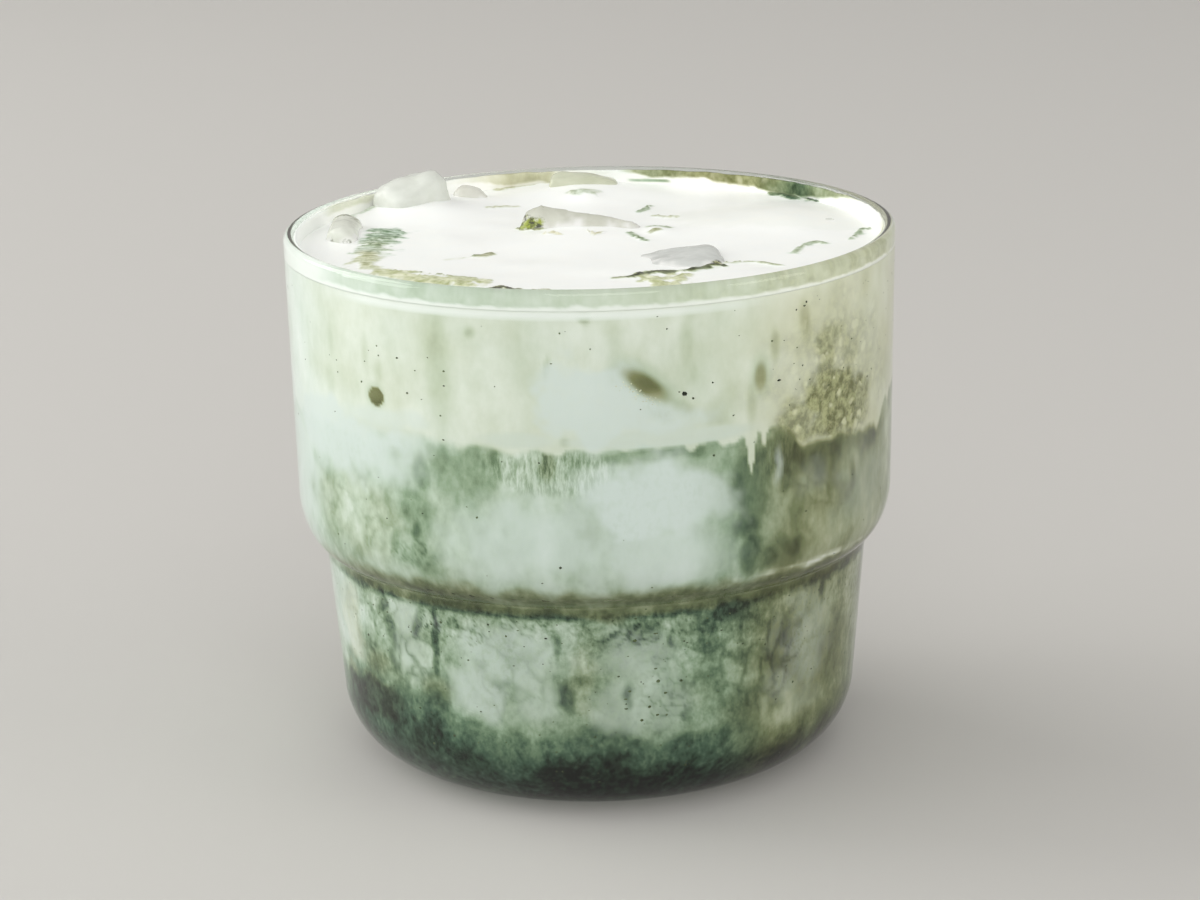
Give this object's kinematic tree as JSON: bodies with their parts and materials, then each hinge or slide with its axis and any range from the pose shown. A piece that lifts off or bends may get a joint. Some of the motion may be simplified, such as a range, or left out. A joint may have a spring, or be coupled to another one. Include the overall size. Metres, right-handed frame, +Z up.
{
  "type": "iced mugwort latte in a tumbler",
  "caption": "Layered iced mugwort latte, dark green below and pale milk on top, in a clear stepped stackable tumbler with ice breaking the surface.",
  "frame": {"origin": "middle of the foot, on the surface that the tumbler stands on", "axes": "+Z up along the tumbler's axis, -Y towards the side that was pictured, +X to its right"},
  "size_m": [0.09, 0.09, 0.0826],
  "materials": {
    "glass": "polished clear glass",
    "mugwort": "wet dark green liquid behind glass",
    "latte": "cloudy grey-green milk drink, marbled",
    "milk": "white milk with pale green marbling",
    "ice": "wet melting ice, cloudy"
  },
  "bodies": {
    "root": {"glass": "glass", "mugwort_layer": "mugwort", "latte_layer": "latte", "milk_layer": "milk", "ice_back_left": "ice", "ice_back_left_small": "ice", "ice_left": "ice", "ice_ridge": "ice", "ice_front": "ice", "ice_back": "ice", "ice_right": "ice"}
  },
  "joints": []
}
